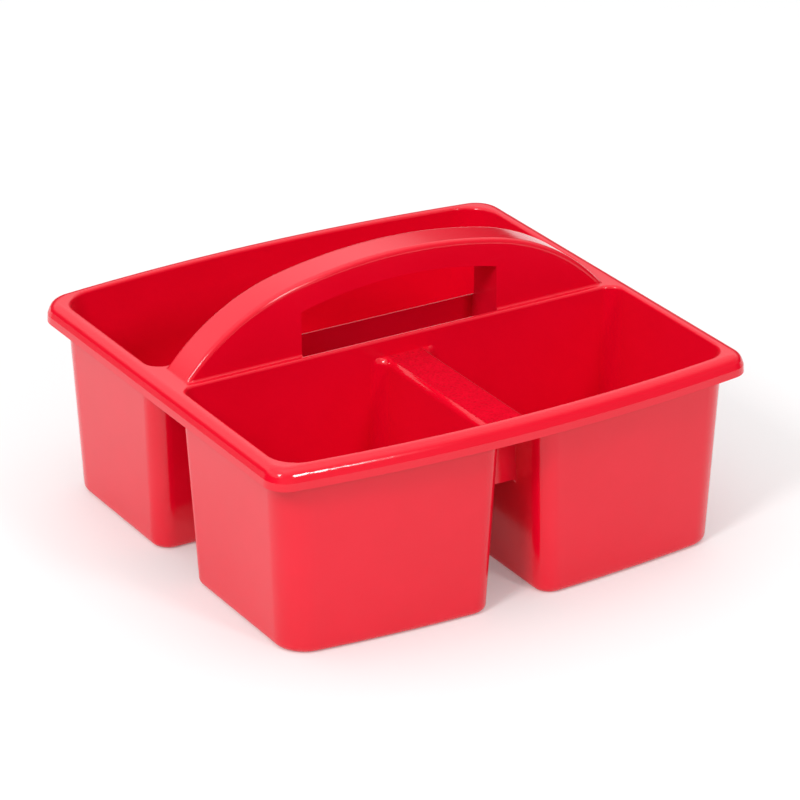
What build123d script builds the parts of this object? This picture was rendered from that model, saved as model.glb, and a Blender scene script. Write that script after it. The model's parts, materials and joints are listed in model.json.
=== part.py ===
from build123d import *
import math
import os

# A handled art supply box: one injection-moulded shell with three tubs that
# hang from a common rim, a low bridge between the two front tubs, and a
# hollow arched handle with a hand slot.  Millimetres.  The origin is on the
# table, under the middle of the box; X runs along the handle, +Y points to
# the single long tub at the back, and Z points up.
#
# The real box is a single moulding.  It is written here as its members, each
# one a solid of its own that meets its neighbours face to face.

# ---------------------------------------------------------------- overall
LENGTH = 236.3            # over the rim, along the handle
DEPTH = 231.8             # over the rim, at the middle of the bowed sides
RIM_TOP = 90.0            # table to the top of the rim
HANDLE_RISE = 38.5        # top of the rim to the top of the handle
WALL = 1.8                # walls, webs and the bridge
FLOOR = 2.0               # thickness under each tub

# -------------------------------------------------------------------- rim
BOW = 9.3                 # how far the front and back bulge past the corners
FRONT_RIM_R = 10.5        # plan radius of the rim's front corners
BACK_RIM_R = 14.5         # plan radius of the rim's back corners
BAND_H = 5.4              # height of the rounded band above the skirt
BAND_LEAN_DEG = 22.0      # how far the band's side leans in from upright
BAND_ROUND_R = 5.0        # round-over from the band's side to the top
SKIRT_H = 3.4             # upright band below it
SKIRT_FLARE = 0.2         # how far the skirt leans out at its lower edge
MOUTH_ROUND_R = 1.4       # round-over along the mouths
RIM_FLAT = 0.75           # level strip between the two round-overs

# ------------------------------------------------------------------- tubs
END_DRAFT_DEG = 2.8       # taper of the walls at the ends of the box
BOW_DRAFT_DEG = 1.9       # taper of the bowed walls
INNER_DRAFT_DEG = 2.5     # taper of the walls by the handle and the bridge
PARTITION_GAP = 24.8      # between the mouths, across the handle
BRIDGE_WIDTH = 21.6       # between the front tubs, at the bridge
BRIDGE_DROP = 8.0         # top of the rim down to the bridge
FRONT_CORNER_R = 13.0     # upright corners under the rim's front corners
BACK_CORNER_R = 16.5      # upright corners under the rim's back corners
INNER_CORNER_R = 6.8      # upright corners beside the handle
BRIDGE_CORNER_R = 6.5     # upright corners of the front tubs, by the bridge
FLOOR_ROUND_R = 3.3       # outside round-over between walls and floor
BRIDGE_EDGE_R = 3.4       # round-over along the bridge

# ----------------------------------------------------------------- handle
LEDGE_FLAT = 0.3          # level strip beside the handle, between round-overs
HANDLE_TAPER = 0.6        # how far each web leans in from foot to top
FOOT_SETBACK = 12.4       # end of the rim to the handle's foot
SHOULDER_SPAN = 54.7      # foot to crown, along the box
CROWN_R = 240.0           # long arc over the hand slot
HANDLE_EDGE_R = 2.2       # round-over along both top edges
HANDLE_FOOT_R = 1.2       # fillet where the handle rises from the rim
SLOT_LENGTH = 98.8        # hand slot, along the handle
GRIP_DEPTH = 11.9         # handle's top to the slot's ceiling, at the middle
SLOT_CEILING_RISE = 6.2   # slot's ceiling, from its ends to its middle
SLOT_WALL_DROP = 24.0     # how far the slot's end walls reach below the rim

# -------------------------------------------------------------------- rib
RIB_SETBACK = 29.2        # front of the rim to the rib between the front tubs
RIB_HEIGHT = 31.2         # underside of the bridge to the rib's lower edge
RIB_CORNER_R = 2.5        # fillets where its lower edge meets the tubs

# ----------------------------------------------------------------- derived
HALF_LENGTH = LENGTH / 2
HALF_DEPTH = DEPTH / 2
HANDLE_TOP = RIM_TOP + HANDLE_RISE
END_DRAFT = math.tan(math.radians(END_DRAFT_DEG))
BOW_DRAFT = math.tan(math.radians(BOW_DRAFT_DEG))
INNER_DRAFT = math.tan(math.radians(INNER_DRAFT_DEG))

BAND_LEAN = math.tan(math.radians(BAND_LEAN_DEG))
BAND_REACH = BAND_ROUND_R * math.tan(math.radians((90 - BAND_LEAN_DEG) / 2))
RIM_WIDTH = SKIRT_FLARE + BAND_H * BAND_LEAN + BAND_REACH + RIM_FLAT + MOUTH_ROUND_R
BAND_Z = RIM_TOP - BAND_H             # lower edge of the band
SKIRT_Z = BAND_Z - SKIRT_H            # lower edge of the rim
BRIDGE_Z = RIM_TOP - BRIDGE_DROP
TUB_TOP_Z = BRIDGE_Z - WALL           # underside of the bridge, top of the tubs
BOW_R = (HALF_LENGTH ** 2 + BOW ** 2) / (2 * BOW)

PARTITION_HALF = PARTITION_GAP / 2
BRIDGE_HALF = BRIDGE_WIDTH / 2
HANDLE_WIDTH = PARTITION_GAP - 2 * (MOUTH_ROUND_R + LEDGE_FLAT + HANDLE_FOOT_R)
FOOT_X = HALF_LENGTH - FOOT_SETBACK
CROWN_X = FOOT_X - SHOULDER_SPAN      # where the crown's arc meets a shoulder's
CROWN_CENTRE_Z = HANDLE_TOP - CROWN_R
CROWN_ANGLE = math.asin(CROWN_X / CROWN_R)
CROWN_END_Z = CROWN_CENTRE_Z + CROWN_R * math.cos(CROWN_ANGLE)
# The shoulder's arc leaves the crown's without a kink and ends at the foot.
SHOULDER_FALL = CROWN_END_Z - RIM_TOP
SHOULDER_OVERHANG = SHOULDER_FALL * math.cos(CROWN_ANGLE) - SHOULDER_SPAN * math.sin(CROWN_ANGLE)
SHOULDER_R = (SHOULDER_SPAN ** 2 + SHOULDER_FALL ** 2) / (2 * SHOULDER_OVERHANG)
SHOULDER_X = CROWN_X - SHOULDER_R * math.sin(CROWN_ANGLE)
SHOULDER_Z = CROWN_END_Z - SHOULDER_R * math.cos(CROWN_ANGLE)
SLOT_HALF = SLOT_LENGTH / 2
SLOT_MID_Z = HANDLE_TOP - GRIP_DEPTH
SLOT_END_Z = SLOT_MID_Z - SLOT_CEILING_RISE
RIB_Y = RIB_SETBACK - HALF_DEPTH
RIB_Z = TUB_TOP_Z - RIB_HEIGHT

MARGIN = 20.0                         # how far cutters run past the box
ROUND_STEPS = 8                       # flats that make up a stepped round
TOUCH = 0.05                          # nearer than this, two edges are level


def end_x(z, skin):
    """Distance from the middle to the end wall of a tub at height z.

    skin is 0 for the inside of the wall and WALL for the outside.
    """
    return HALF_LENGTH - RIM_WIDTH - (RIM_TOP - z) * END_DRAFT + skin


def bow_inset(z, skin):
    """How far the bowed wall of a tub is from the rim's edge at height z."""
    return RIM_WIDTH + (RIM_TOP - z) * BOW_DRAFT - skin


def partition_y(z, skin):
    """Distance from the middle to the wall of a tub by the handle."""
    return PARTITION_HALF + (RIM_TOP - z) * INNER_DRAFT - skin


def bridge_wall_x(z, skin):
    """Distance from the middle to the wall of a front tub by the bridge."""
    return BRIDGE_HALF + (BRIDGE_Z - z) * INNER_DRAFT - skin


def bow_y(x, inset):
    """Distance from the middle to a bowed side that is inset from the rim."""
    return HALF_DEPTH - BOW_R + math.sqrt((BOW_R - inset) ** 2 - x ** 2)


def bowed_face(x_low, x_high, y_straight, side, inset, radii, z):
    """A plan outline: three straight sides and one bowed side.

    side is +1 for the back and -1 for the front.  radii are those of the
    corners at (x_low, straight), (x_high, straight), (x_high, bowed) and
    (x_low, bowed).
    """
    corners = [
        (x_low, side * y_straight),
        (x_high, side * y_straight),
        (x_high, side * bow_y(x_high, inset)),
        (x_low, side * bow_y(x_low, inset)),
    ]
    x_mid = (x_low + x_high) / 2
    outline = [
        Line(corners[0], corners[1]),
        Line(corners[1], corners[2]),
        ThreePointArc(corners[2], (x_mid, side * bow_y(x_mid, inset)), corners[3]),
        Line(corners[3], corners[0]),
    ]
    face = make_face(outline)
    for corner, radius in zip(corners, radii):
        vertex = face.vertices().sort_by_distance((corner[0], corner[1], 0))[0]
        face = fillet(vertex, radius)
    return Pos(0, 0, z) * face


def rim_face(inset, z):
    """The rim's plan outline, inset on every side."""
    x = HALF_LENGTH - inset
    y = bow_y(x, inset)
    y_mid = bow_y(0, inset)
    outline = [
        ThreePointArc((-x, -y), (0, -y_mid), (x, -y)),
        Line((x, -y), (x, y)),
        ThreePointArc((x, y), (0, y_mid), (-x, y)),
        Line((-x, y), (-x, -y)),
    ]
    face = make_face(outline)
    face = fillet(face.vertices().group_by(Axis.Y)[-1], BACK_RIM_R - inset)
    front_corners = [vertex for vertex in face.vertices() if vertex.Y < -y + TOUCH]
    return Pos(0, 0, z) * fillet(front_corners, FRONT_RIM_R - inset)


def stack(faces):
    """A solid through a pile of outlines, straight from each to the next."""
    return loft(faces, ruled=True)


def wide_face(z, skin, side, outer_corner):
    """Plan of an opening as long as the box, at height z.

    side is +1 behind the handle and -1 in front of it.
    """
    x = end_x(z, skin)
    inner = INNER_CORNER_R + skin
    outer = outer_corner + skin
    radii = (inner, inner, outer, outer)
    return bowed_face(-x, x, partition_y(z, skin), side, bow_inset(z, skin), radii, z)


def back_tub_face(z, skin):
    """Plan of the back tub at height z."""
    return wide_face(z, skin, 1, BACK_CORNER_R)


def front_mouth_face(z, skin):
    """Plan of the mouth that the front tubs share, at height z."""
    return wide_face(z, skin, -1, FRONT_CORNER_R)


def front_left_tub_face(z, skin, lean=0.0):
    """Plan of the front left tub at height z.

    lean moves the side by the bridge towards the bridge.
    """
    x_low = -end_x(z, skin)
    x_high = lean - bridge_wall_x(z, skin)
    inner = INNER_CORNER_R + skin
    outer = FRONT_CORNER_R + skin
    bridge = BRIDGE_CORNER_R + skin
    radii = (inner, bridge, bridge, outer)
    return bowed_face(x_low, x_high, partition_y(z, skin), -1, bow_inset(z, skin), radii, z)


def rounded_below(solid, radius):
    """Round the edges between a tub's walls and its floor."""
    return fillet(solid.faces().sort_by(Axis.Z)[0].edges(), radius)


def mirrored(solid):
    """The same shape on the other side of the middle."""
    return mirror(solid, about=Plane.YZ)


def zone(x_low, x_high, y_low, y_high, z_low, z_high):
    """A block between two opposite corners."""
    block = Box(x_high - x_low, y_high - y_low, z_high - z_low, align=(Align.MIN, Align.MIN, Align.MIN))
    return Pos(x_low, y_low, z_low) * block


# ------------------------------------------------------------------- tubs
def back_tub_inside():
    """The hollow of the back tub, up to the rim's top."""
    hollow = stack([back_tub_face(FLOOR, 0), back_tub_face(RIM_TOP, 0)])
    return rounded_below(hollow, FLOOR_ROUND_R - WALL)


def front_left_tub_inside():
    """The hollow of the front left tub, with a round-over at the bridge."""
    faces = [front_left_tub_face(FLOOR, 0)]
    for step in range(ROUND_STEPS + 1):
        angle = math.radians(90 * step / ROUND_STEPS)
        z = BRIDGE_Z - BRIDGE_EDGE_R * (1 - math.sin(angle))
        lean = BRIDGE_EDGE_R * (1 - math.cos(angle))
        faces.append(front_left_tub_face(z, 0, lean))
    return rounded_below(stack(faces), FLOOR_ROUND_R - WALL)


def back_tub():
    """The long tub behind the handle, up to the frame."""
    block = stack([back_tub_face(0, WALL), back_tub_face(TUB_TOP_Z, WALL)])
    return rounded_below(block, FLOOR_ROUND_R) - back_tub_inside()


def front_left_tub():
    """One of the two short tubs in front, up to the bridge's underside."""
    block = stack([front_left_tub_face(0, WALL), front_left_tub_face(TUB_TOP_Z, WALL)])
    return rounded_below(block, FLOOR_ROUND_R) - front_left_tub_inside()


# -------------------------------------------------------------------- rim
def rim_block():
    """The rim as a solid slab: an upright skirt, then a rounded band."""
    foot = rim_face(SKIRT_FLARE, BAND_Z)
    skirt = stack([rim_face(0, SKIRT_Z), foot])
    band = stack([foot, rim_face(SKIRT_FLARE + BAND_H * BAND_LEAN, RIM_TOP)])
    band = fillet(band.faces().sort_by(Axis.Z)[-1].edges(), BAND_ROUND_R)
    return skirt + band


def rim_hollow():
    """The open space under the rim, a wall inside its surface."""
    inset = SKIRT_FLARE + WALL * math.hypot(1, BAND_LEAN)
    top_inset = inset + (BAND_H - WALL) * BAND_LEAN
    foot = rim_face(inset, BAND_Z)
    lower = extrude(rim_face(inset, SKIRT_Z - MARGIN), MARGIN + SKIRT_H)
    upper = stack([foot, rim_face(top_inset, RIM_TOP - WALL)])
    upper = fillet(upper.faces().sort_by(Axis.Z)[-1].edges(), BAND_ROUND_R - WALL)
    return lower + upper


def frame():
    """Rim, top plate, upper walls and bridge: all that the tubs hang from."""
    plate_z = RIM_TOP - WALL / 2
    body = rim_block() - rim_hollow()
    body += stack([back_tub_face(TUB_TOP_Z, WALL), back_tub_face(plate_z, WALL)])
    body += stack([front_mouth_face(TUB_TOP_Z, WALL), front_mouth_face(plate_z, WALL)])
    body -= back_tub_inside()
    body -= stack([front_mouth_face(BRIDGE_Z, 0), front_mouth_face(RIM_TOP, 0)])
    hollow = front_left_tub_inside()
    body -= hollow
    body -= mirrored(hollow)
    plate = body.faces().filter_by(Axis.Z).group_by(Axis.Z)[-1].sort_by(SortBy.AREA)[-1]
    mouth_edges = [edge for wire in plate.inner_wires() for edge in wire.edges()]
    return fillet(mouth_edges, MOUTH_ROUND_R)


# ----------------------------------------------------------------- handle
def arch_foot_x(inset):
    """Half the handle's length at the rim's top, inset from its surface."""
    rise = RIM_TOP - SHOULDER_Z
    return SHOULDER_X + math.sqrt((SHOULDER_R - inset) ** 2 - rise ** 2)


def arch_prism(inset, z_base):
    """The handle's side outline, carried right across the box.

    Above the rim it is a long arc between two tighter ones; below the rim
    its ends drop straight to z_base.
    """
    foot = arch_foot_x(inset)
    shoulder = SHOULDER_R - inset
    mid_angle = (CROWN_ANGLE + math.atan2(foot - SHOULDER_X, RIM_TOP - SHOULDER_Z)) / 2
    join = (CROWN_X - inset * math.sin(CROWN_ANGLE), CROWN_END_Z - inset * math.cos(CROWN_ANGLE))
    waist = (SHOULDER_X + shoulder * math.sin(mid_angle), SHOULDER_Z + shoulder * math.cos(mid_angle))
    crown = (0, CROWN_CENTRE_Z + CROWN_R - inset)
    outline = [
        Line((foot, z_base), (foot, RIM_TOP)),
        ThreePointArc((foot, RIM_TOP), waist, join),
        ThreePointArc(join, crown, (-join[0], join[1])),
        ThreePointArc((-join[0], join[1]), (-waist[0], waist[1]), (-foot, RIM_TOP)),
        Line((-foot, RIM_TOP), (-foot, z_base)),
        Line((-foot, z_base), (foot, z_base)),
    ]
    return extrude(Plane.XZ * make_face(outline), HANDLE_WIDTH, both=True)


def handle_half_width(z, inset):
    """Half the width across the handle at height z."""
    return HANDLE_WIDTH / 2 - HANDLE_TAPER * (z - RIM_TOP) / HANDLE_RISE - inset


def web_wedge(inset, z_base):
    """The space between the handle's two leaning webs."""
    low = handle_half_width(z_base, inset)
    z_high = HANDLE_TOP + MARGIN
    high = handle_half_width(z_high, inset)
    outline = Polyline((-low, z_base), (low, z_base), (high, z_high), (-high, z_high), close=True)
    return extrude(Plane.YZ * make_face(outline), HALF_LENGTH, both=True)


def handle_block():
    """The handle before it is hollowed, set a little into the rim."""
    z_base = RIM_TOP - WALL / 2
    block = arch_prism(0, z_base) & web_wedge(0, z_base)
    top_edges = [
        edge for edge in block.edges()
        if edge.center().Z > RIM_TOP + HANDLE_EDGE_R and abs(edge.center().Y) > HANDLE_WIDTH / 4
    ]
    return fillet(top_edges, HANDLE_EDGE_R)


def handle_hollow():
    """The open channel that runs up inside the handle."""
    z_base = SKIRT_Z - MARGIN
    return arch_prism(WALL, z_base) & web_wedge(WALL, z_base)


def hand_slot():
    """The slot through both webs, and the plate between them below it."""
    outline = [
        Line((-SLOT_HALF, RIM_TOP), (SLOT_HALF, RIM_TOP)),
        Line((SLOT_HALF, RIM_TOP), (SLOT_HALF, SLOT_END_Z)),
        ThreePointArc((SLOT_HALF, SLOT_END_Z), (0, SLOT_MID_Z), (-SLOT_HALF, SLOT_END_Z)),
        Line((-SLOT_HALF, SLOT_END_Z), (-SLOT_HALF, RIM_TOP)),
    ]
    window = extrude(Plane.XZ * make_face(outline), HANDLE_WIDTH, both=True)
    half = partition_y(RIM_TOP, WALL)
    channel = zone(-SLOT_HALF, SLOT_HALF, -half, half, SKIRT_Z - MARGIN, RIM_TOP)
    return window + channel


def slot_right_wall():
    """The wall that closes one end of the slot, from web to web."""
    x_low = SLOT_HALF
    x_high = SLOT_HALF + WALL
    plate_z = RIM_TOP - WALL
    z_low = RIM_TOP - SLOT_WALL_DROP
    high = partition_y(plate_z, WALL)
    low = partition_y(z_low, WALL)
    outline = Polyline((-low, z_low), (low, z_low), (high, plate_z), (-high, plate_z), close=True)
    lower = Pos(x_low, 0, 0) * extrude(Plane.YZ * make_face(outline), WALL)
    upper = handle_hollow() & zone(x_low, x_high, -HANDLE_WIDTH, HANDLE_WIDTH, plate_z, HANDLE_TOP)
    return lower + upper


def frame_with_handle():
    """The frame with the handle standing on it."""
    body = frame() + handle_block()
    foot_edges = [
        edge for edge in body.edges()
        if abs(edge.bounding_box().min.Z - RIM_TOP) < TOUCH
        and abs(edge.bounding_box().max.Z - RIM_TOP) < TOUCH
        and abs(edge.center().X) < FOOT_X + TOUCH
        and abs(edge.center().Y) < HANDLE_WIDTH / 2 + TOUCH
    ]
    body = fillet(foot_edges, HANDLE_FOOT_R)
    body -= handle_hollow()
    body -= hand_slot()
    return body


# -------------------------------------------------------------------- rib
def gap_outline(z_low, z_high):
    """The gap between the front tubs, seen from the front."""
    low = bridge_wall_x(z_low, WALL)
    high = bridge_wall_x(z_high, WALL)
    return make_face(Polyline((-low, z_low), (low, z_low), (high, z_high), (-high, z_high), close=True))


def gap_rib():
    """The stiffener across the gap between the front tubs."""
    z_low = RIB_Z - RIB_CORNER_R
    notch = gap_outline(z_low, RIB_Z)
    notch = fillet(notch.vertices().group_by(Axis.Y)[-1], RIB_CORNER_R)
    web = gap_outline(z_low, TUB_TOP_Z) - notch
    return Pos(0, RIB_Y, 0) * extrude(Plane.XZ * web, WALL / 2, both=True)


# ---------------------------------------------------------------- members
def frame_members():
    """The frame and handle, cut into the members that they are made of."""
    body = frame_with_handle()
    far = HALF_LENGTH + MARGIN
    corner_x = HALF_LENGTH - RIM_WIDTH - max(FRONT_CORNER_R, BACK_CORNER_R)
    mid_y = HALF_DEPTH / 2
    low = TUB_TOP_Z - MARGIN
    top = RIM_TOP
    high = HANDLE_TOP + MARGIN
    bridge_x = BRIDGE_HALF + BRIDGE_CORNER_R / 2
    bridge_front_y = bow_y(bridge_x, bow_inset(TUB_TOP_Z, 0))
    bridge_back_y = partition_y(TUB_TOP_Z, 0)
    bridge = zone(-bridge_x, bridge_x, -bridge_front_y, -bridge_back_y, low, BRIDGE_Z)
    cuts = {
        "rim_left": zone(-far, -corner_x, -far, far, low, top),
        "rim_right": zone(corner_x, far, -far, far, low, top),
        "rim_back": zone(-corner_x, corner_x, mid_y, far, low, top),
        "rim_front": zone(-corner_x, corner_x, -far, -mid_y, low, top) - bridge,
        "bridge": bridge,
        "front_ledge": zone(-corner_x, corner_x, -mid_y, 0, low, top) - bridge,
        "back_ledge": zone(-corner_x, corner_x, 0, mid_y, low, top),
        "handle_grip": zone(-SLOT_HALF, SLOT_HALF, -far, far, top, high),
        "handle_left_leg": zone(-far, -SLOT_HALF, -far, far, top, high),
        "handle_right_leg": zone(SLOT_HALF, far, -far, far, top, high),
    }
    return {name: body & cut for name, cut in cuts.items()}


def all_members():
    """Every member of the box, by name."""
    members = frame_members()
    members["back_tub"] = back_tub()
    members["front_left_tub"] = front_left_tub()
    members["front_right_tub"] = mirrored(front_left_tub())
    members["slot_right_wall"] = slot_right_wall()
    members["slot_left_wall"] = mirrored(slot_right_wall())
    members["gap_rib"] = gap_rib()
    return members


os.makedirs("parts", exist_ok=True)
for name, member in all_members().items():
    print(name, len(member.solids()), round(member.volume, 2), member.is_valid)
    export_step(member, "parts/" + name + ".step")
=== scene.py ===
import json
import math

import bpy
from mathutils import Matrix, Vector


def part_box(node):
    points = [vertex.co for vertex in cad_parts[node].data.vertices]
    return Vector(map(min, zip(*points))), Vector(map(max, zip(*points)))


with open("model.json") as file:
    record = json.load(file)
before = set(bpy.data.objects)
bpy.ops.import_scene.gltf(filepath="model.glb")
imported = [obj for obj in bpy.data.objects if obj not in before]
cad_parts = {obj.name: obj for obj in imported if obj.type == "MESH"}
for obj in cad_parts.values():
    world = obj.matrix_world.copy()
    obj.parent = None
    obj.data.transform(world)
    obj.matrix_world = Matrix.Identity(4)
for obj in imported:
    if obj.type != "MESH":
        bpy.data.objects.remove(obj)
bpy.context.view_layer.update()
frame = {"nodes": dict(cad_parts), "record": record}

# ---------------------------------------------------------- named values
# Metres.  Patterns are given as the size of one patch.
MOULD_WAVE = 0.045            # slow ripple in the moulded walls
MOTTLE = 0.030                # cloudy variation in colour and shine
GRAIN = 0.0011                # fine grain of the plastic
PEBBLE = 0.0014               # mould texture on top of the bridge
SCUFF_LENGTH = 0.030          # faint rub marks, along and across
SCUFF_WIDTH = 0.0016
FOOT_WEAR_HEIGHT = 0.004      # the undersides rub on the table up to here
BRIDGE_EDGE = 0.0036          # glossy round-over on both sides of the bridge
BRIDGE_PATCH = 0.005          # uneven patches in the mould texture
RAGGED_PATCH = 0.002          # how its long edges wander
RAGGED_DEPTH = 0.0012
WEAR_PATCH = 0.006            # patches of wear on the undersides
FIBRE = 0.004                 # unevenness of the paper floor

RIPPLE_DEPTH = 0.00015        # depths of relief
GRAIN_DEPTH = 0.0000022
PEBBLE_DEPTH = 0.00042
FIBRE_DEPTH = 0.00002

PLASTIC_IOR = 1.5
PLASTIC_SHEEN = 0.015
GLOSS = (0.115, 0.145)        # roughness, over the cloudy pattern
SCUFF_ROUGHNESS = 0.10        # added where the plastic is rubbed
WEAR_ROUGHNESS = 0.25
PEBBLE_ROUGHNESS = 0.45

# Linear colours.
RED = (0.795, 0.0004, 0.0200)
DEEP_RED = (0.770, 0.0003, 0.0180)
RUBBED_RED = (0.800, 0.030, 0.045)
BRIDGE_RED = (0.720, 0.0010, 0.0180)
# Darker red painted into the pits of the bridge's pebble texture as painted shade, and into
# its uneven patches as the plastic's own tone.
BRIDGE_PIT_SHADE_AND_PATCH_RED = (0.550, 0.0005, 0.0120)
PAPER = (0.73, 0.73, 0.73)
PAPER_GLOW = 0.17

# The camera's angle, place and framing.
CAMERA_AZIMUTH = -30.94
CAMERA_ELEVATION = 24.39
CAMERA_AIM = (0, 0, 0.060)
CAMERA_DISTANCE = 1.79406
CAMERA_SENSOR = 36.0          # millimetres, like the lens
CAMERA_LENS = 183.52
CAMERA_SHIFT = (0.01338, -0.01569)

FLOOR_HALF = 8.0
LAMP_DISTANCE = 2.5
LAMP_AIM = (0, 0, 0.05)

# Brightness of the white tent, as (elevation, value) pairs.
TENT_BEHIND = (
    (0, 0.02), (10, 0.05), (17, 0.22), (21, 0.75),
    (27, 1.18), (40, 1.05), (60, 1.12), (90, 1.70),
)
TENT_IN_FRONT = (
    (0, 0.04), (7, 0.12), (10, 0.55), (15, 0.65), (21, 0.50),
    (28, 0.45), (40, 0.55), (60, 1.00), (90, 1.70),
)
TENT_FRONT_AZIMUTH = 10
TENT_GAINS = ((60, 0.55), (-95, 1.08))    # (azimuth, gain towards it)


# ------------------------------------------------------- node construction
class Nodes:
    """Short names for the nodes of one material or world."""

    def __init__(self, owner):
        owner.use_nodes = True
        self.tree = owner.node_tree
        self.tree.nodes.clear()

    def add(self, kind, **settings):
        node = self.tree.nodes.new(kind)
        for key, value in settings.items():
            setattr(node, key, value)
        return node

    def link(self, source, target):
        self.tree.links.new(source, target)

    def feed(self, socket, value):
        """Set a socket to a number or a colour, or link another to it."""
        if isinstance(value, bpy.types.NodeSocket):
            self.link(value, socket)
        elif isinstance(value, tuple) and len(value) == 3 and socket.type == "RGBA":
            socket.default_value = (*value, 1.0)
        else:
            socket.default_value = value

    def math(self, operation, first, second=0.0):
        node = self.add("ShaderNodeMath", operation=operation)
        self.feed(node.inputs[0], first)
        self.feed(node.inputs[1], second)
        return node.outputs["Value"]

    def span(self, value, low, high, out_low=0.0, out_high=1.0):
        """Carry low..high over to out_low..out_high, smoothly, with ends held."""
        node = self.add("ShaderNodeMapRange", interpolation_type="SMOOTHSTEP")
        for name, number in (
            ("Value", value),
            ("From Min", low),
            ("From Max", high),
            ("To Min", out_low),
            ("To Max", out_high),
        ):
            self.feed(node.inputs[name], number)
        return node.outputs["Result"]

    def mix(self, factor, first, second):
        node = self.add("ShaderNodeMix", data_type="RGBA")
        self.feed(node.inputs["Factor"], factor)
        self.feed(node.inputs[6], first)
        self.feed(node.inputs[7], second)
        return node.outputs[2]

    def position(self):
        """The point on the surface, in the part's own frame."""
        return self.add("ShaderNodeNewGeometry").outputs["Position"]

    def axes(self, vector):
        node = self.add("ShaderNodeSeparateXYZ")
        self.link(vector, node.inputs[0])
        return node.outputs

    def scaled(self, vector, factors):
        node = self.add("ShaderNodeVectorMath", operation="MULTIPLY")
        self.link(vector, node.inputs[0])
        node.inputs[1].default_value = factors
        return node.outputs["Vector"]

    def noise(self, vector, patch, detail=2.0, roughness=0.5):
        node = self.add("ShaderNodeTexNoise")
        self.link(vector, node.inputs["Vector"])
        node.inputs["Scale"].default_value = 1.0 / patch
        node.inputs["Detail"].default_value = detail
        node.inputs["Roughness"].default_value = roughness
        return node.outputs[0]

    def cells(self, vector, patch):
        node = self.add("ShaderNodeTexVoronoi", feature="SMOOTH_F1")
        self.link(vector, node.inputs["Vector"])
        node.inputs["Scale"].default_value = 1.0 / patch
        return node.outputs["Distance"]

    def bump(self, height, depth, under=None):
        node = self.add("ShaderNodeBump")
        self.link(height, node.inputs["Height"])
        node.inputs["Distance"].default_value = depth
        node.inputs["Strength"].default_value = 1.0
        if under is not None:
            self.link(under, node.inputs["Normal"])
        return node.outputs["Normal"]

    def surface(self, **sockets):
        """A principled shader on the output, with the sockets given."""
        shader = self.add("ShaderNodeBsdfPrincipled")
        output = self.add("ShaderNodeOutputMaterial")
        self.link(shader.outputs["BSDF"], output.inputs["Surface"])
        for name, value in sockets.items():
            self.feed(shader.inputs[name.replace("_", " ")], value)
        return shader


# -------------------------------------------------------------- materials
def scuffs(n, point):
    """Sparse, thin rub marks that run along the box and up its walls."""
    along = n.scaled(point, (1 / SCUFF_LENGTH, 1 / SCUFF_WIDTH, 1 / SCUFF_WIDTH))
    upward = n.scaled(point, (1 / SCUFF_WIDTH, 1 / SCUFF_WIDTH, 1 / SCUFF_LENGTH))
    marks = n.math("MAXIMUM", n.noise(along, 1.0, 3.0), n.noise(upward, 1.0, 3.0))
    places = n.span(n.noise(point, MOULD_WAVE), 0.50, 0.66)
    return n.math("MULTIPLY", n.span(marks, 0.64, 0.74), places)


def foot_wear(n, point):
    """Where the box has been slid about on its base."""
    height = n.axes(point)["Z"]
    low = n.span(height, 0.0, FOOT_WEAR_HEIGHT, 1.0, 0.0)
    return n.math("MULTIPLY", low, n.span(n.noise(point, WEAR_PATCH, 4.0, 0.65), 0.48, 0.62))


def moulded(n, point):
    """Colour, roughness and normal of the smooth, glossy plastic."""
    cloud = n.noise(point, MOTTLE, 4.0, 0.55)
    worn = foot_wear(n, point)
    marks = scuffs(n, point)
    color = n.mix(n.span(cloud, 0.30, 0.70), DEEP_RED, RED)
    color = n.mix(n.math("MULTIPLY", worn, 0.5), color, RUBBED_RED)
    color = n.mix(n.math("MULTIPLY", marks, 0.05), color, RUBBED_RED)
    roughness = n.span(cloud, 0.25, 0.75, *GLOSS)
    roughness = n.math("ADD", roughness, n.math("MULTIPLY", marks, SCUFF_ROUGHNESS))
    roughness = n.math("ADD", roughness, n.math("MULTIPLY", worn, WEAR_ROUGHNESS))
    ripple = n.bump(n.noise(point, MOULD_WAVE, 1.0), RIPPLE_DEPTH)
    normal = n.bump(n.noise(point, GRAIN, 2.0), GRAIN_DEPTH, under=ripple)
    return color, roughness, normal


def glossy_plastic():
    """The smooth plastic of every member but the bridge."""
    material = bpy.data.materials.new("red_polypropylene")
    n = Nodes(material)
    color, roughness, normal = moulded(n, n.position())
    n.surface(
        Base_Color=color,
        Roughness=roughness,
        Normal=normal,
        IOR=PLASTIC_IOR,
        Sheen_Weight=PLASTIC_SHEEN,
    )
    return material


def bridge_flat_half():
    """Half the width of the bridge's level top.

    The rib fills the gap between the outsides of the walls, and the bridge
    is a wall thickness wider on either side, less its round-over.
    """
    slot_low, slot_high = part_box("slot_right_wall")
    wall = slot_high[0] - slot_low[0]
    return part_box("gap_rib")[1][0] + wall - BRIDGE_EDGE


def bridge_strip(n, point):
    """1 on the level top of the bridge and 0 elsewhere, with ragged edges."""
    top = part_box("bridge")[1][2]
    axes = n.axes(point)
    across = n.math("ABSOLUTE", axes["X"])
    wander = n.math("SUBTRACT", n.noise(point, RAGGED_PATCH, 2.0), 0.5)
    ragged = n.math("MULTIPLY", wander, RAGGED_DEPTH)
    half = bridge_flat_half()
    inside = n.span(n.math("ADD", across, ragged), half - 0.0003, half + 0.0003, 1.0, 0.0)
    level = n.span(axes["Z"], top - 0.0004, top - 0.0001)
    return n.math("MULTIPLY", inside, level)


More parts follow.
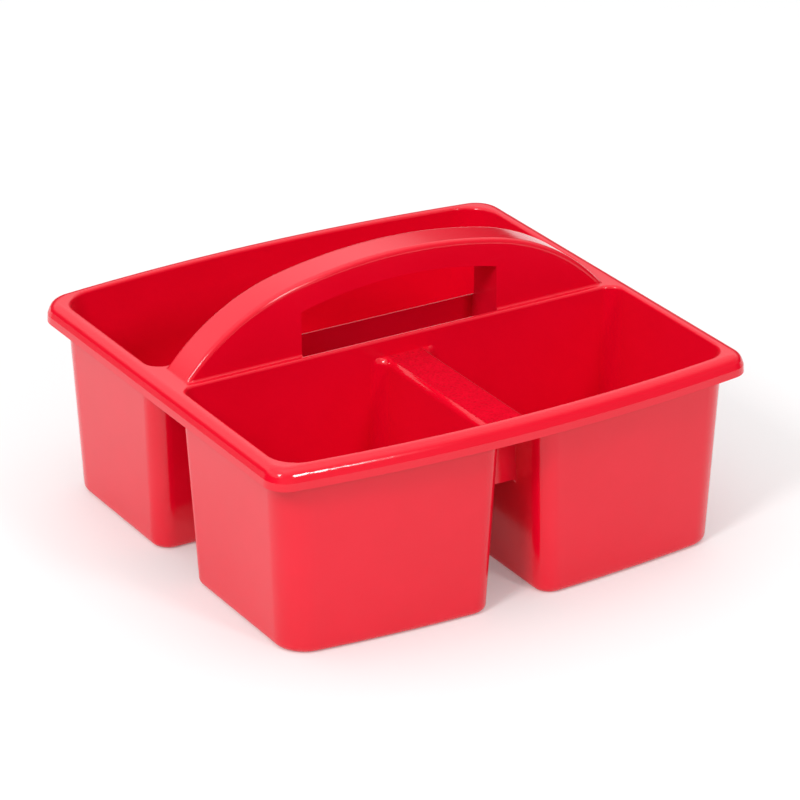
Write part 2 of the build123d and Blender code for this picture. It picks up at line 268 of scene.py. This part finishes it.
def pebbled_plastic():
    """The same plastic, with a pebbled strip along the top of the bridge."""
    material = bpy.data.materials.new("red_polypropylene_pebbled")
    n = Nodes(material)
    point = n.position()
    color, roughness, normal = moulded(n, point)
    textured = bridge_strip(n, point)
    speckle = n.math("MULTIPLY", n.noise(point, PEBBLE * 0.8, 3.0), 0.8)
    pebbles = n.math("ADD", n.cells(point, PEBBLE), speckle)
    patches = n.span(n.noise(point, BRIDGE_PATCH, 3.0, 0.6), 0.35, 0.65)
    # Painted shade: the pits of the pebble texture, low in its relief, are coloured darker.
    # Uneven patches are then darkened toward the same red as the plastic's own varying tone.
    textured_color_with_pit_shade = n.mix(n.span(pebbles, 0.35, 0.95), BRIDGE_PIT_SHADE_AND_PATCH_RED, BRIDGE_RED)
    textured_color_with_pit_shade = n.mix(n.math("MULTIPLY", patches, 0.35), textured_color_with_pit_shade, BRIDGE_PIT_SHADE_AND_PATCH_RED)
    n.surface(
        Base_Color=n.mix(textured, color, textured_color_with_pit_shade),
        Roughness=n.math("ADD", roughness, n.math("MULTIPLY", textured, PEBBLE_ROUGHNESS)),
        Normal=n.bump(n.math("MULTIPLY", pebbles, textured), PEBBLE_DEPTH, under=normal),
        IOR=PLASTIC_IOR,
        Specular_IOR_Level=n.span(textured, 0.0, 1.0, 0.5, 0.0),
        Sheen_Weight=PLASTIC_SHEEN,
    )
    return material


def floor_paper():
    """White paper, lit a little from below."""
    material = bpy.data.materials.new("floor_paper")
    n = Nodes(material)
    fibre = n.noise(n.position(), FIBRE, 3.0)
    n.surface(
        Base_Color=PAPER,
        Emission_Color=(1.0, 1.0, 1.0),
        Emission_Strength=PAPER_GLOW,
        Roughness=n.span(fibre, 0.3, 0.7, 0.72, 0.85),
        Normal=n.bump(fibre, FIBRE_DEPTH),
        Specular_IOR_Level=0.2,
    )
    return material


SLOTS = {row["node"]: row["material_slot"] for row in frame["record"]["subparts"]}
MATERIALS = {"red_gloss": glossy_plastic(), "red_textured": pebbled_plastic()}
for node, part in frame["nodes"].items():
    part.data.materials.clear()
    part.data.materials.append(MATERIALS[SLOTS[node]])


# ------------------------------------------------------------------ stage
def direction(azimuth_deg, elevation_deg):
    """A unit vector; azimuth 0 is straight in front and +90 is +X."""
    azimuth = math.radians(azimuth_deg)
    elevation = math.radians(elevation_deg)
    return Vector((
        math.sin(azimuth) * math.cos(elevation),
        -math.cos(azimuth) * math.cos(elevation),
        math.sin(elevation),
    ))


def floor():
    """A plain white sheet that gives off a little light of its own."""
    half = FLOOR_HALF
    mesh = bpy.data.meshes.new("floor")
    corners = [(-half, -half, 0), (half, -half, 0), (half, half, 0), (-half, half, 0)]
    mesh.from_pydata(corners, [], [(0, 1, 2, 3)])
    mesh.materials.append(floor_paper())
    plane = bpy.data.objects.new("floor", mesh)
    bpy.context.scene.collection.objects.link(plane)


def camera():
    """The photo's view: from the front left, a little above."""
    back = direction(CAMERA_AZIMUTH, CAMERA_ELEVATION)
    data = bpy.data.cameras.new("camera")
    data.sensor_width = CAMERA_SENSOR
    data.lens = CAMERA_LENS
    data.shift_x, data.shift_y = CAMERA_SHIFT
    data.clip_end = 50
    eye = bpy.data.objects.new("camera", data)
    eye.location = Vector(CAMERA_AIM) + back * CAMERA_DISTANCE
    eye.rotation_euler = back.to_track_quat("Z", "Y").to_euler()
    bpy.context.scene.collection.objects.link(eye)
    bpy.context.scene.camera = eye


def softbox(name, azimuth, elevation, degrees, radiance):
    """A rectangular lamp that looks degrees wide and tall from the box."""
    width, height = [2 * LAMP_DISTANCE * math.tan(math.radians(size / 2)) for size in degrees]
    data = bpy.data.lights.new(name, "AREA")
    data.shape = "RECTANGLE"
    data.size = width
    data.size_y = height
    data.energy = radiance * math.pi * width * height
    lamp = bpy.data.objects.new(name, data)
    away = direction(azimuth, elevation)
    lamp.location = away * LAMP_DISTANCE + Vector(LAMP_AIM)
    lamp.rotation_euler = away.to_track_quat("Z", "Y").to_euler()
    bpy.context.scene.collection.objects.link(lamp)


def elevation_ramp(n, height, stops):
    """Brightness against elevation in degrees, from (elevation, value) pairs."""
    ramp = n.add("ShaderNodeValToRGB")
    elements = ramp.color_ramp.elements
    while len(elements) < len(stops):
        elements.new(0.5)
    for element, (elevation, value) in zip(elements, stops):
        element.position = math.sin(math.radians(elevation))
        element.color = (value, value, value, 1)
    n.link(height, ramp.inputs["Fac"])
    return ramp.outputs["Color"]


def facing(n, sky, azimuth, low, high):
    """1 towards an azimuth and 0 away from it."""
    towards = n.add("ShaderNodeVectorMath", operation="DOT_PRODUCT")
    n.link(sky, towards.inputs[0])
    towards.inputs[1].default_value = direction(azimuth, 0)
    return n.span(towards.outputs["Value"], low, high)


def studio():
    """A white tent: dark near the floor, most of all behind, bright above."""
    dome = bpy.data.worlds.new("studio")
    n = Nodes(dome)
    sky = n.add("ShaderNodeTexCoord").outputs["Generated"]
    height = n.axes(sky)["Z"]
    behind = elevation_ramp(n, height, TENT_BEHIND)
    in_front = elevation_ramp(n, height, TENT_IN_FRONT)
    strength = n.mix(facing(n, sky, TENT_FRONT_AZIMUTH, 0.1, 0.7), behind, in_front)
    for azimuth, gain in TENT_GAINS:
        share = facing(n, sky, azimuth, 0.35, 0.95)
        strength = n.math("MULTIPLY", strength, n.span(share, 0.0, 1.0, 1.0, gain))
    background = n.add("ShaderNodeBackground")
    background.inputs["Color"].default_value = (1, 1, 1, 1)
    n.link(strength, background.inputs["Strength"])
    output = n.add("ShaderNodeOutputWorld")
    n.link(background.outputs["Background"], output.inputs["Surface"])
    bpy.context.scene.world = dome


floor()
camera()
studio()
softbox("front_lamp", azimuth=12, elevation=32, degrees=(8, 8), radiance=32)
softbox("left_lamp", azimuth=-64, elevation=40, degrees=(10, 14), radiance=26)
bpy.context.scene.view_settings.view_transform = "Standard"
